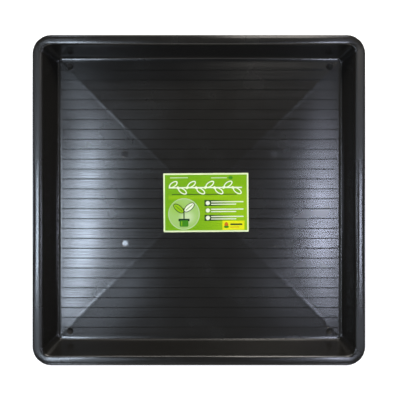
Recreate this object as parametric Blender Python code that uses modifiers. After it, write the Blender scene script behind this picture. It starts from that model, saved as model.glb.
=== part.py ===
"""Square drainage tray for plant pots, with its printed label.

The tray is one plastic moulding: a floor of four shallow facets with drainage grooves, a cove,
sloping walls and a rolled rim with a turned-down lip. It stands on four hollow corner feet.
Units are metres, +X runs along the longer side and +Z is up. The origin is under the middle of
the tray, on the surface that it stands on.
"""
import math

import bmesh
import bpy
from mathutils import Matrix, Vector

# Overall size
LENGTH_X = 0.604
LENGTH_Y = 0.600
HEIGHT = 0.070
WALL = 0.0022

# Rim, from its outer edge inwards
OUTER_CORNER_R = 0.034
RIM_OUTER_R = 0.0070
RIM_TOP_FLAT = 0.0037
RIM_INNER_R = 0.0075
LIP_DROP = 0.0125

# Gussets that stiffen the lip, out of sight under the rim
GUSSET_T = 0.0016
GUSSET_FROM_END = 0.111
GUSSET_SPACING = 0.084
GUSSET_SETBACK = 0.0015

# Wall, and the cove that joins it to the floor
WALL_TAPER = math.radians(12.5)
COVE_WIDTH = 0.0116
COVE_HEIGHT = 0.0037
FLOOR_CORNER_R = 0.0028

# Floor: four facets that rise from the cove to the middle, so that water runs outwards,
# with a low rounded hip bead along each crease
FLOOR_RISE = 0.0024
HIP_WIDTH = 0.0056
HIP_RISE = 0.00025
HIP_END_GAP = 0.0030

# Section of a hip bead, as shares of its width and of its rise, down to below the floor's face
HIP_PROFILE = ((-0.75, -1.0), (-0.25, 0.75), (0.0, 1.0), (0.25, 0.75), (0.75, -1.0))

# Drainage grooves, which run along X
GROOVE_PITCH = 0.01887
GROOVE_WIDTH = 0.0019
GROOVE_BOTTOM = 0.0007
GROOVE_DEPTH = 0.0008
GROOVE_RUNOUT = 0.0030
GROOVE_END_GAP = 0.0060

# Hollow feet: each is a dished well in the floor with its wall standing out below
FOOT_DROP = 0.0040
FOOT_FLAT_R = 0.0045
WELL_R = 0.0058
WELL_GAP_X = 0.0072
WELL_GAP_Y = 0.0003

# Shallow dishes that the moulding gates leave in the floor
DISH_X = 0.1425
DISH_PITCHES = 4.5
DISH_R = 0.0058
DISH_DEPTH = 0.0006

# Label
LABEL_WIDTH = 0.162
LABEL_DEPTH = 0.112
LABEL_T = 0.0003
LABEL_CORNER_R = 0.0015
LABEL_SHIFT_X = 0.0118
LABEL_SHIFT_Y = -0.0072
LABEL_TURN = math.radians(0.4)
SEAT_GAP = 0.0003

# Fineness of the curves, and how far a cutter stands past what it cuts
CORNER_STEPS = 8
ARC_STEPS = 6
TURN_STEPS = 24
OVERCUT = 0.0010

# Places worked out from the sizes above
FLOOR_Z = FOOT_DROP + WALL
RIM_INNER_INSET = RIM_OUTER_R + RIM_TOP_FLAT
WALL_TOP_INSET = RIM_INNER_INSET + RIM_INNER_R * math.cos(WALL_TAPER)
WALL_TOP_Z = HEIGHT - RIM_INNER_R * (1 - math.sin(WALL_TAPER))
COVE_SWEEP = math.atan(COVE_WIDTH / (COVE_HEIGHT * math.tan(WALL_TAPER)))
COVE_TOP_Z = FLOOR_Z + COVE_HEIGHT * (1 - math.cos(COVE_SWEEP))
WALL_FOOT_INSET = WALL_TOP_INSET + (WALL_TOP_Z - COVE_TOP_Z) * math.tan(WALL_TAPER)
FLOOR_INSET = WALL_FOOT_INSET + COVE_WIDTH * math.sin(COVE_SWEEP)
FLOOR_HALF_X = LENGTH_X / 2 - FLOOR_INSET
FLOOR_HALF_Y = LENGTH_Y / 2 - FLOOR_INSET


def clear_scene():
    """Remove every object that the scene starts with."""
    for obj in list(bpy.data.objects):
        bpy.data.objects.remove(obj, do_unlink=True)


def new_collection(name):
    """Add a collection to the scene."""
    collection = bpy.data.collections.new(name)
    bpy.context.scene.collection.children.link(collection)
    return collection


def plastic(name, color, roughness):
    """Make a Principled material that isn't metallic."""
    material = bpy.data.materials.new(name)
    material.use_nodes = True
    shader = material.node_tree.nodes["Principled BSDF"]
    shader.inputs["Base Color"].default_value = (*color, 1.0)
    shader.inputs["Roughness"].default_value = roughness
    shader.inputs["Metallic"].default_value = 0.0
    return material


def mesh_object(name, bm, collection):
    """Turn a bmesh into a named object."""
    mesh = bpy.data.meshes.new(name)
    bm.to_mesh(mesh)
    bm.free()
    obj = bpy.data.objects.new(name, mesh)
    collection.objects.link(obj)
    return obj


def mark_helper(obj):
    """Show a cutter or an added body as wire only, and keep it out of renders."""
    obj.hide_render = True
    obj.display_type = "WIRE"


def add_solidify(obj, thickness, offset):
    """Give an open surface its thickness."""
    solid = obj.modifiers.new("Thickness", "SOLIDIFY")
    solid.thickness = thickness
    solid.offset = offset
    solid.use_even_offset = True


def add_boolean(obj, other, operation):
    """Join another body to an object, or cut it out."""
    cut = obj.modifiers.new(operation.title() + " " + other.name, "BOOLEAN")
    cut.operation = operation
    cut.solver = "EXACT"
    cut.object = other


def arc(steps, start, end):
    """Give evenly spaced angles from start to end, both included."""
    return [start + (end - start) * step / steps for step in range(steps + 1)]


def floor_height(x, y):
    """Height of the floor's upper face: a pyramid on the floor's rectangle."""
    outward = max(abs(x) / FLOOR_HALF_X, abs(y) / FLOOR_HALF_Y)
    return FLOOR_Z + FLOOR_RISE * (1 - outward)


def rounded_rectangle(half_x, half_y, radius):
    """Points round a rectangle with round corners, anticlockwise from the +X +Y corner."""
    points = []
    for corner, (sign_x, sign_y) in enumerate(((1, 1), (-1, 1), (-1, -1), (1, -1))):
        center_x = sign_x * (half_x - radius)
        center_y = sign_y * (half_y - radius)
        first = corner * math.pi / 2
        for angle in arc(CORNER_STEPS, first, first + math.pi / 2):
            points.append((center_x + radius * math.cos(angle), center_y + radius * math.sin(angle)))
    return points


def loft(bm, sections):
    """Join closed sections of equal point counts with faces, and give back their vertices."""
    rings = [[bm.verts.new(point) for point in section] for section in sections]
    for ring, following in zip(rings, rings[1:]):
        for index in range(len(ring)):
            after = (index + 1) % len(ring)
            bm.faces.new((ring[index], ring[after], following[after], following[index]))
    return rings


def rim_profile(depth):
    """Inset and height of the rim from the lip's edge to the wall, at a depth under the surface."""
    outer_r = RIM_OUTER_R - depth
    inner_r = RIM_INNER_R - depth
    outer_z = HEIGHT - RIM_OUTER_R
    inner_z = HEIGHT - RIM_INNER_R
    points = []
    for angle in arc(ARC_STEPS, math.pi, math.pi / 2):
        points.append((RIM_OUTER_R + outer_r * math.cos(angle), outer_z + outer_r * math.sin(angle)))
    for angle in arc(ARC_STEPS, math.pi / 2, WALL_TAPER):
        points.append((RIM_INNER_INSET + inner_r * math.cos(angle), inner_z + inner_r * math.sin(angle)))
    return points


def cove_profile():
    """Inset and height of the cove, from the wall down to the floor's edge: part of an ellipse."""
    points = []
    for angle in arc(ARC_STEPS, COVE_SWEEP, 0):
        inset = FLOOR_INSET - COVE_WIDTH * math.sin(angle)
        points.append((inset, FLOOR_Z + COVE_HEIGHT * (1 - math.cos(angle))))
    return points


def shell_sections():
    """Closed sections of the tray's upper surface, from the lip's edge to the floor's edge."""
    stations = [(0.0, HEIGHT - LIP_DROP, OUTER_CORNER_R)]
    for inset, height in rim_profile(0.0):
        stations.append((inset, height, OUTER_CORNER_R - inset))
    for inset, height in cove_profile():
        stations.append((inset, height, FLOOR_CORNER_R + FLOOR_INSET - inset))
    sections = []
    for inset, height, radius in stations:
        outline = rounded_rectangle(LENGTH_X / 2 - inset, LENGTH_Y / 2 - inset, radius)
        sections.append([Vector((x, y, height)) for x, y in outline])
    sections[-1] = [Vector((point.x, point.y, floor_height(point.x, point.y))) for point in sections[-1]]
    return sections


def tray_surface(collection):
    """Upper surface of the moulding: the lofted rim, walls and cove, and the four floor facets."""
    bm = bmesh.new()
    edge = loft(bm, shell_sections())[-1]
    middle = bm.verts.new((0.0, 0.0, floor_height(0.0, 0.0)))
    per_side = len(edge) // 4
    for side in range(4):
        first = side * per_side + CORNER_STEPS // 2
        span = [edge[(first + step) % len(edge)] for step in range(per_side + 1)]
        bm.faces.new(span + [middle])
    return mesh_object("tray_shell", bm, collection)


def hip_section(along, across, reach):
    """Section of a hip bead at a share of the way from the middle to a corner of the floor."""
    center = along * reach
    height = floor_height(center.x, center.y)
    points = []
    for width_share, rise_share in HIP_PROFILE:
        place = center + across * (width_share * HIP_WIDTH)
        points.append(Vector((place.x, place.y, height + rise_share * HIP_RISE)))
    return points


def hip_bead(sign, collection):
    """Low bead along one diagonal of the floor, from corner to corner over the middle."""
    along = Vector((FLOOR_HALF_X, sign * FLOOR_HALF_Y))
    across = Vector((-along.y, along.x)).normalized()
    reach = 1 - HIP_END_GAP / along.length
    bm = bmesh.new()
    rings = loft(bm, [hip_section(along, across, share) for share in (-reach, 0.0, reach)])
    bm.faces.new(list(reversed(rings[0])))
    bm.faces.new(rings[-1])
    bmesh.ops.recalc_face_normals(bm, faces=bm.faces)
    bead = mesh_object("hip_bead_rising" if sign > 0 else "hip_bead_falling", bm, collection)
    mark_helper(bead)
    return bead


def groove_places():
    """Y of each groove: as many whole pitches each side of the middle as the floor holds."""
    room = FLOOR_HALF_Y - GROOVE_END_GAP - GROOVE_WIDTH / 2
    count = int(room / GROOVE_PITCH)
    return [index * GROOVE_PITCH for index in range(-count, count + 1)]


def groove_section(x, y, bottom):
    """Section of one groove's cutter: sloping sides that carry on above the floor."""
    rise = GROOVE_DEPTH + OVERCUT
    half_bottom = GROOVE_BOTTOM / 2
    half_top = half_bottom + (GROOVE_WIDTH - GROOVE_BOTTOM) / 2 * rise / GROOVE_DEPTH
    return [
        Vector((x, y - half_top, bottom + rise)),
        Vector((x, y - half_bottom, bottom)),
        Vector((x, y + half_bottom, bottom)),
        Vector((x, y + half_top, bottom + rise)),
    ]


def groove_cutters(collection):
    """Cutter for all the grooves: each follows the facets and runs out in the cove."""
    bm = bmesh.new()
    for y in groove_places():
        crease = FLOOR_HALF_X * abs(y) / FLOOR_HALF_Y
        stations = sorted({-FLOOR_HALF_X, -crease, crease, FLOOR_HALF_X})
        end = FLOOR_HALF_X + GROOVE_RUNOUT
        sections = [groove_section(x, y, floor_height(x, y) - GROOVE_DEPTH) for x in stations]
        sections.insert(0, groove_section(-end, y, FLOOR_Z + COVE_HEIGHT))
        sections.append(groove_section(end, y, FLOOR_Z + COVE_HEIGHT))
        rings = loft(bm, sections)
        bm.faces.new(list(reversed(rings[0])))
        bm.faces.new(rings[-1])
    bmesh.ops.recalc_face_normals(bm, faces=bm.faces)
    return mesh_object("groove_cutters", bm, collection)


def turned(name, profile, places, collection):
    """Bodies turned about Z from a profile of radius and height, listed from the top down."""
    bm = bmesh.new()
    verts = [bm.verts.new((radius, 0.0, height)) for radius, height in profile]
    for first, second in zip(verts, verts[1:]):
        bm.edges.new((first, second))
    mesh = bpy.data.meshes.new(name)
    bm.to_mesh(mesh)
    bm.free()
    bodies = []
    for number, place in enumerate(places, start=1):
        obj = bpy.data.objects.new(f"{name}_{number}", mesh)
        collection.objects.link(obj)
        obj.location = place
        screw = obj.modifiers.new("Turn", "SCREW")
        screw.steps = TURN_STEPS
        screw.render_steps = TURN_STEPS
        screw.use_merge_vertices = True
        screw.merge_threshold = 0.00001
        mark_helper(obj)
        bodies.append(obj)
    return bodies


def foot_places():
    """Centre of each corner foot, on the surface that the tray stands on."""
    x = FLOOR_HALF_X - WELL_GAP_X - WELL_R
    y = FLOOR_HALF_Y - WELL_GAP_Y - WELL_R
    return [(sign_x * x, sign_y * y, 0.0) for sign_x in (1, -1) for sign_y in (1, -1)]


def foot_profile():
    """Outside of a foot: up into the floor's thickness, a rounded side and a flat sole."""
    outer_r = WELL_R + WALL
    sink_z = FOOT_DROP + WALL / 2
    points = [(0.0, sink_z), (outer_r, sink_z)]
    for angle in arc(ARC_STEPS, 0, math.pi / 2):
        radius = FOOT_FLAT_R + (outer_r - FOOT_FLAT_R) * math.cos(angle)
        points.append((radius, FOOT_DROP * (1 - math.sin(angle))))
    points.append((0.0, 0.0))
    return points


def well_profile():
    """Inside of a foot: a dish, half an ellipse in section, that leaves the wall's thickness."""
    points = [(0.0, FLOOR_Z + FLOOR_RISE), (WELL_R, FLOOR_Z + FLOOR_RISE)]
    for angle in arc(ARC_STEPS, 0, math.pi / 2):
        points.append((WELL_R * math.cos(angle), FLOOR_Z - FOOT_DROP * math.sin(angle)))
    points[-1] = (0.0, WALL)
    return points


def dish_places():
    """Centre of each gate dish, on the floor midway between two grooves."""
    y = DISH_PITCHES * GROOVE_PITCH
    places = []
    for sign_x in (1, -1):
        for sign_y in (1, -1):
            places.append((sign_x * DISH_X, sign_y * y, floor_height(DISH_X, y)))
    return places


def dish_profile():
    """A shallow round dish with a level floor, and its cutter's body above."""
    return [
        (0.0, OVERCUT),
        (DISH_R, OVERCUT),
        (DISH_R, 0.0),
        (DISH_R - DISH_DEPTH, -DISH_DEPTH),
        (0.0, -DISH_DEPTH),
    ]


def gusset_places(half_length):
    """Places of the gussets along half a side, from its end towards its middle."""
    places = []
    place = half_length - GUSSET_FROM_END
    while place > GUSSET_SPACING / 2:
        places.append(place)
        place -= GUSSET_SPACING
    return places


def gusset_outline():
    """Outline of a gusset: along the middle of the rim's wall, closed by a level lower edge."""
    low = HEIGHT - LIP_DROP + GUSSET_SETBACK
    curve = rim_profile(WALL / 2)
    last_inset, last_z = curve[-1]
    wall_inset = last_inset + (last_z - low) * math.tan(WALL_TAPER)
    return [(WALL / 2, low)] + curve + [(wall_inset, low)]


def add_gusset(bm, turn, reach, along):
    """One flat gusset: turn picks the side of the tray, and along is its place on that side."""
    frame = Matrix.Rotation(turn, 4, "Z")
    faces = []
    for offset in (along - GUSSET_T / 2, along + GUSSET_T / 2):
        outline = [Vector((reach - inset, offset, height)) for inset, height in gusset_outline()]
        faces.append([bm.verts.new(frame @ point) for point in outline])
    bm.faces.new(faces[0])
    bm.faces.new(list(reversed(faces[1])))
    for index in range(len(faces[0])):
        after = (index + 1) % len(faces[0])
        bm.faces.new((faces[0][after], faces[0][index], faces[1][index], faces[1][after]))


def gussets(collection):
    """All the gussets, on the four sides of the rim."""
    bm = bmesh.new()
    for side in range(4):
        reach = (LENGTH_X if side % 2 == 0 else LENGTH_Y) / 2
        half_length = (LENGTH_Y if side % 2 == 0 else LENGTH_X) / 2
        for place in gusset_places(half_length):
            add_gusset(bm, side * math.pi / 2, reach, place)
            add_gusset(bm, side * math.pi / 2, reach, -place)
    bmesh.ops.recalc_face_normals(bm, faces=bm.faces)
    obj = mesh_object("rim_gussets", bm, collection)
    mark_helper(obj)
    return obj


def build_tray(parts, helpers):
    """The moulding: its shell, then the feet and wells, the gate dishes, the grooves and the gussets."""
    tray = tray_surface(parts)
    add_solidify(tray, WALL, -1.0)
    for sign in (1, -1):
        add_boolean(tray, hip_bead(sign, helpers), "UNION")
    for foot in turned("foot", foot_profile(), foot_places(), helpers):
        add_boolean(tray, foot, "UNION")
    for well in turned("well", well_profile(), foot_places(), helpers):
        add_boolean(tray, well, "DIFFERENCE")
    for dish in turned("dish", dish_profile(), dish_places(), helpers):
        add_boolean(tray, dish, "DIFFERENCE")
    grooves = groove_cutters(helpers)
    mark_helper(grooves)
    add_boolean(tray, grooves, "DIFFERENCE")
    add_boolean(tray, gussets(helpers), "UNION")
    tray.data.shade_smooth()
    tray.data.set_sharp_from_angle(angle=math.radians(35))
    tray.data.materials.append(plastic("black_moulded_plastic", (0.018, 0.018, 0.017), 0.35))
    return tray


def build_label(parts):
    """The label: a rounded rectangle folded over the floor's creases, a hair above the hip beads."""
    bm = bmesh.new()
    outline = rounded_rectangle(LABEL_WIDTH / 2, LABEL_DEPTH / 2, LABEL_CORNER_R)
    bm.faces.new([bm.verts.new((x, y, 0.0)) for x, y in outline])
    place = Matrix.Translation((LABEL_SHIFT_X, LABEL_SHIFT_Y, 0.0)) @ Matrix.Rotation(LABEL_TURN, 4, "Z")
    bmesh.ops.transform(bm, matrix=place, verts=bm.verts)
    for sign in (1, -1):
        across = Vector((FLOOR_HALF_Y, sign * FLOOR_HALF_X, 0.0))
        everything = list(bm.verts) + list(bm.edges) + list(bm.faces)
        bmesh.ops.bisect_plane(bm, geom=everything, plane_co=(0.0, 0.0, 0.0), plane_no=across)
    for vert in bm.verts:
        vert.co.z = floor_height(vert.co.x, vert.co.y) + HIP_RISE + SEAT_GAP
    label = mesh_object("label", bm, parts)
    add_solidify(label, LABEL_T, 1.0)
    label.data.materials.append(plastic("printed_label", (0.28, 0.52, 0.06), 0.4))
    return label


def main():
    clear_scene()
    parts = new_collection("drainage_tray")
    helpers = new_collection("cutters")
    build_tray(parts, helpers)
    build_label(parts)


main()
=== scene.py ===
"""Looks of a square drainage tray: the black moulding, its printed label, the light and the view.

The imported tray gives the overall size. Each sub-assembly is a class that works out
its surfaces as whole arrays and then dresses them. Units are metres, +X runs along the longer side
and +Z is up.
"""
import logging
import math
from dataclasses import dataclass, replace
from enum import Enum
from typing import Union

import bpy
import numpy as np
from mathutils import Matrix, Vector


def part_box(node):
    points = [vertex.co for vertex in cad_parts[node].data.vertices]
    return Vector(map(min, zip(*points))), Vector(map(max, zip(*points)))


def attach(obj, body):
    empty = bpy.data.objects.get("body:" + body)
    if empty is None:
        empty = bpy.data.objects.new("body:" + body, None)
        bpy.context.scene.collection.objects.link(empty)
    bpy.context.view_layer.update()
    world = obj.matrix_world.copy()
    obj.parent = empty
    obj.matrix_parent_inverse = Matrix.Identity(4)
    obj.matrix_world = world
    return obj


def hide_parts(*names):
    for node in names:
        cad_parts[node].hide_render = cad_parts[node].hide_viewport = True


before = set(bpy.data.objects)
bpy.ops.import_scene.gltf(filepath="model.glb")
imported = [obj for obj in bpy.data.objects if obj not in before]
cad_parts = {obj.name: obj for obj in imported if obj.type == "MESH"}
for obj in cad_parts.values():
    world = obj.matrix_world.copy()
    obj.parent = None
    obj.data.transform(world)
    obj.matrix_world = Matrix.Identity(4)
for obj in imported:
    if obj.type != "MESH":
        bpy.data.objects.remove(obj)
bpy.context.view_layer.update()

MILLIMETRE = 0.001
WHITE = (1.0, 1.0, 1.0)

Array = np.ndarray
Colour = tuple[float, float, float]
Point = tuple[float, float, float]
Socket = bpy.types.NodeSocket
Feed = Union[Socket, float, tuple]

log = logging.getLogger("drainage_tray")


# Points and faces


def grid_quads(index: Array) -> Array:
    """Quads of a grid of vertex numbers. They face up when columns run along +X and rows along +Y.

    Args:
        index: vertex numbers, rows by columns.

    Returns:
        One row of four vertex numbers for each quad.
    """
    corners = (index[:-1, :-1], index[:-1, 1:], index[1:, 1:], index[1:, :-1])
    return np.stack(corners, axis=-1).reshape(-1, 4)


def edge_loop(grid: Array) -> Array:
    """Entries round the edge of a grid, anticlockwise seen from above.

    Args:
        grid: vertex numbers or points, rows by columns.

    Returns:
        The first row, the last column, and the last row and first column backwards.
    """
    return np.concatenate((grid[0, :-1], grid[:-1, -1], grid[-1, :0:-1], grid[:0:-1, 0]))


def ring_quads(loops: Array) -> Array:
    """Quads between closed loops. They face up when each loop lies outside the one before it.

    Args:
        loops: vertex numbers, loops by points, each loop anticlockwise seen from above.

    Returns:
        One row of four vertex numbers for each quad.
    """
    after = np.roll(loops, -1, axis=1)
    return np.stack((loops[:-1], loops[1:], after[1:], after[:-1]), axis=-1).reshape(-1, 4)


def fan(pole: int, ring: Array) -> Array:
    """Triangles from a pole to a ring. They face up when the ring is anticlockwise from above."""
    return np.column_stack((np.full(len(ring), pole), ring, np.roll(ring, -1)))


def smooth_step(share: Array) -> Array:
    """Ease from 0 to 1: three times the square of the clipped share, less twice its cube."""
    clipped = np.clip(share, 0.0, 1.0)
    return clipped * clipped * (3.0 - 2.0 * clipped)


def mirrored(lines: Array) -> Array:
    """Lines on both sides of zero, sorted, from those on the positive side."""
    return np.unique(np.concatenate((-lines, lines)))


def filled(lines: Array, widest: float) -> Array:
    """Spread further lines evenly wherever two neighbours lie too far apart.

    Args:
        lines: places in any order.
        widest: the widest gap that may stay.

    Returns:
        The sorted places with the added ones.
    """
    ordered = np.unique(np.round(lines, 7))
    spans = zip(ordered[:-1], ordered[1:])
    parts = [np.linspace(low, high, math.ceil((high - low) / widest) + 1)[:-1] for low, high in spans]
    return np.append(np.concatenate(parts), ordered[-1])


def rounded_corners(x: Array, y: Array, core: Array, radius: float) -> tuple[Array, Array]:
    """Turn the square cells at a grid's four corners into quarter discs.

    With u and v from 0 to 1 across a cell, the place along X goes to u times the root of
    1 - v*v/2, and the place along Y to v times the root of 1 - u*u/2.

    Args:
        x: places along X.
        y: places along Y.
        core: where the cells begin along X and along Y, on the positive sides.
        radius: the cells' side, which becomes the corners' radius.

    Returns:
        The new places.
    """
    u = np.clip((np.abs(x) - core[0]) / radius, 0.0, 1.0)
    v = np.clip((np.abs(y) - core[1]) / radius, 0.0, 1.0)
    inside = (u > 0.0) & (v > 0.0)
    round_x = np.sign(x) * (core[0] + radius * u * np.sqrt(1.0 - v * v / 2.0))
    round_y = np.sign(y) * (core[1] + radius * v * np.sqrt(1.0 - u * u / 2.0))
    return np.where(inside, round_x, x), np.where(inside, round_y, y)


class MeshParts:
    """Closed bodies gathered as arrays and put into one mesh at the end."""

    def __init__(self) -> None:
        """Start with no bodies."""
        self.points: list[Array] = []
        self.faces: list[Array] = []
        self.count = 0

    def add(self, points: Array, *faces: Array) -> None:
        """Add one body.

        Args:
            points: its points, one to a row.
            faces: arrays of its faces as its own vertex numbers, each array of one face size.
        """
        self.faces.extend(face + self.count for face in faces)
        self.points.append(points)
        self.count += len(points)

    def add_shell(self, upper: Array, lower: Array, rings: Union[Array, None] = None) -> None:
        """Add a body closed between two grids of equal shape, with rings round their edges.

        Args:
            upper: points of the grid that faces up, rows by columns.
            lower: points of the grid that faces down.
            rings: points of the loops from the upper edge to the lower one, if there are any.
        """
        rings = np.empty((0, len(edge_loop(upper)), 3)) if rings is None else rings
        top = np.arange(upper.shape[0] * upper.shape[1]).reshape(upper.shape[:2])
        ring = top.size + np.arange(rings.shape[0] * rings.shape[1]).reshape(rings.shape[:2])
        bottom = top + top.size + ring.size
        loops = np.vstack((edge_loop(top)[None], ring, edge_loop(bottom)[None]))
        points = np.concatenate([part.reshape(-1, 3) for part in (upper, rings, lower)])
        self.add(points, grid_quads(top), ring_quads(loops), grid_quads(bottom)[:, ::-1])

    def add_turned(self, profile: Array, place: Array, steps: int) -> None:
        """Add a body turned about Z: each radius of the profile is carried round a circle.

        Args:
            profile: radius and height in rows, from the lower pole round the outside to the upper.
            place: where its axis meets the profile's zero height.
            steps: points round the circle.
        """
        angle = np.linspace(0.0, 2.0 * math.pi, steps, endpoint=False)
        radius = profile[1:-1, 0, None]
        height = np.broadcast_to(profile[1:-1, 1, None], (len(profile) - 2, steps))
        rings = np.stack((radius * np.cos(angle), radius * np.sin(angle), height), axis=-1)
        poles = np.array([(0.0, 0.0, profile[0, 1]), (0.0, 0.0, profile[-1, 1])])
        index = np.arange(rings.shape[0] * steps).reshape(-1, steps)
        lower_pole, upper_pole = index.size, index.size + 1
        sides = ring_quads(index)[:, ::-1]
        caps = np.concatenate((fan(lower_pole, index[0])[:, ::-1], fan(upper_pole, index[-1])))
        self.add(np.concatenate((rings.reshape(-1, 3), poles)) + place, sides, caps)

    def build(self, name: str, sharp_angle: float = math.pi) -> bpy.types.Object:
        """Put everything into a mesh object at the origin.

        Args:
            name: the object's name.
            sharp_angle: edges that turn further than this stay sharp.

        Returns:
            The object, shaded smooth.
        """
        corners = np.concatenate([face.ravel() for face in self.faces]).astype(np.int32)
        sides = np.concatenate([np.full(len(face), face.shape[1]) for face in self.faces])
        starts = np.concatenate(([0], np.cumsum(sides)[:-1])).astype(np.int32)
        points = np.concatenate(self.points).astype(np.float32)
        mesh = bpy.data.meshes.new(name)
        mesh.vertices.add(len(points))
        mesh.vertices.foreach_set("co", points.ravel())
        mesh.loops.add(len(corners))
        mesh.loops.foreach_set("vertex_index", corners)
        mesh.polygons.add(len(starts))
        mesh.polygons.foreach_set("loop_start", starts)
        mesh.update(calc_edges=True)
        mesh.validate()
        mesh.shade_smooth()
        if sharp_angle < math.pi:
            mesh.set_sharp_from_angle(angle=sharp_angle)
        obj = bpy.data.objects.new(name, mesh)
        bpy.context.scene.collection.objects.link(obj)
        return obj


# Shader nodes


class Nodes:
    """Adds nodes to one tree and joins them."""

    def __init__(self, tree: bpy.types.NodeTree) -> None:
        """Work on the given tree."""
        self.tree = tree

    def add(self, kind: str, **settings: object) -> bpy.types.Node:
        """Add a node and set its properties."""
        node = self.tree.nodes.new(kind)
        for name, value in settings.items():
            setattr(node, name, value)
        return node

    def feed(self, target: Socket, value: Feed) -> None:
        """Join a socket to the target, or set the target's own value."""
        if isinstance(value, bpy.types.NodeSocket):
            self.tree.links.new(value, target)
        elif isinstance(value, tuple) and target.type == "RGBA" and len(value) == 3:
            target.default_value = (*value, 1.0)
        else:
            target.default_value = value

    def math(self, operation: str, *values: Feed) -> Socket:
        """Result of a Math node."""
        node = self.add("ShaderNodeMath", operation=operation)
        for target, value in zip(node.inputs, values):
            self.feed(target, value)
        return node.outputs[0]

    def vector(self, operation: str, *values: Feed) -> Socket:
        """Result of a Vector Math node: its Value output for a length, and its Vector otherwise."""
        node = self.add("ShaderNodeVectorMath", operation=operation)
        for target, value in zip(node.inputs, values):
            self.feed(target, value)
        return node.outputs["Value" if operation == "LENGTH" else "Vector"]

    def product(self, *values: Feed) -> Socket:
        """Values multiplied together, from the first to the last."""
        result = values[0]
        for value in values[1:]:
            result = self.math("MULTIPLY", result, value)
        return result

    def parts(self, vector: Feed) -> tuple[Socket, Socket, Socket]:
        """The X, Y and Z of a vector."""
        node = self.add("ShaderNodeSeparateXYZ")
        self.feed(node.inputs[0], vector)
        return node.outputs[0], node.outputs[1], node.outputs[2]

    def joined(self, x: Feed, y: Feed, z: Feed) -> Socket:
        """A vector from its X, Y and Z."""
        node = self.add("ShaderNodeCombineXYZ")
        for target, value in zip(node.inputs, (x, y, z)):
            self.feed(target, value)
        return node.outputs[0]

    def ranged(self, value: Feed, low: Feed, high: Feed, to_low: Feed, to_high: Feed) -> Socket:
        """A value carried smoothly from one range to another, and held at the ends."""
        node = self.add("ShaderNodeMapRange", interpolation_type="SMOOTHSTEP")
        for target, given in zip(node.inputs, (value, low, high, to_low, to_high)):
            self.feed(target, given)
        return node.outputs[0]

    def mix(self, share: Feed, first: Feed, second: Feed) -> Socket:
        """A colour between two others."""
        node = self.add("ShaderNodeMix", data_type="RGBA")
        colours = [socket for socket in node.inputs if socket.type == "RGBA"]
        self.feed(node.inputs[0], share)
        self.feed(colours[0], first)
        self.feed(colours[1], second)
        return next(socket for socket in node.outputs if socket.type == "RGBA")

    def noise(self, vector: Feed, scale: float, detail: float = 2.0, roughness: float = 0.5) -> Socket:
        """Height of a noise pattern, about 0 to 1."""
        node = self.add("ShaderNodeTexNoise")
        self.feed(node.inputs["Vector"], vector)
        self.feed(node.inputs["Scale"], scale)
        self.feed(node.inputs["Detail"], detail)
        self.feed(node.inputs["Roughness"], roughness)
        return node.outputs[0]

    def object_point(self) -> Socket:
        """The surface's place in the part's own frame."""
        return self.add("ShaderNodeTexCoord").outputs["Object"]

    def group(self, tree: bpy.types.NodeTree, **values: Feed) -> bpy.types.Node:
        """Place a node group, with underscores in the names of its inputs read as spaces."""
        node = self.add("ShaderNodeGroup", node_tree=tree)
        for name, value in values.items():
            self.feed(node.inputs[name.replace("_", " ").capitalize()], value)
        return node

    def bump(self, height: Feed, distance: float, normal: Union[Socket, None] = None) -> Socket:
        """Normal of a surface raised by a height of 0 to 1 times a distance in metres."""
        node = self.add("ShaderNodeBump")
        node.inputs["Strength"].default_value = 1.0
        node.inputs["Distance"].default_value = distance
        self.feed(node.inputs["Height"], height)
        if normal is not None:
            self.feed(node.inputs["Normal"], normal)
        return node.outputs[0]


def new_group(name: str, inputs: dict[str, str], outputs: dict[str, str]) -> tuple:
    """Start a shader node group with named sockets.

    Args:
        name: the group's name.
        inputs: socket type of each input, by name, where the type is Float, Vector or Color.
        outputs: socket type of each output, by name.

    Returns:
        The group's nodes, its input node and its output node.
    """
    tree = bpy.data.node_groups.new(name, "ShaderNodeTree")
    for in_out, sockets in (("INPUT", inputs), ("OUTPUT", outputs)):
        for socket, kind in sockets.items():
            tree.interface.new_socket(name=socket, in_out=in_out, socket_type="NodeSocket" + kind)
    nodes = Nodes(tree)
    return nodes, nodes.add("NodeGroupInput"), nodes.add("NodeGroupOutput")


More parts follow.
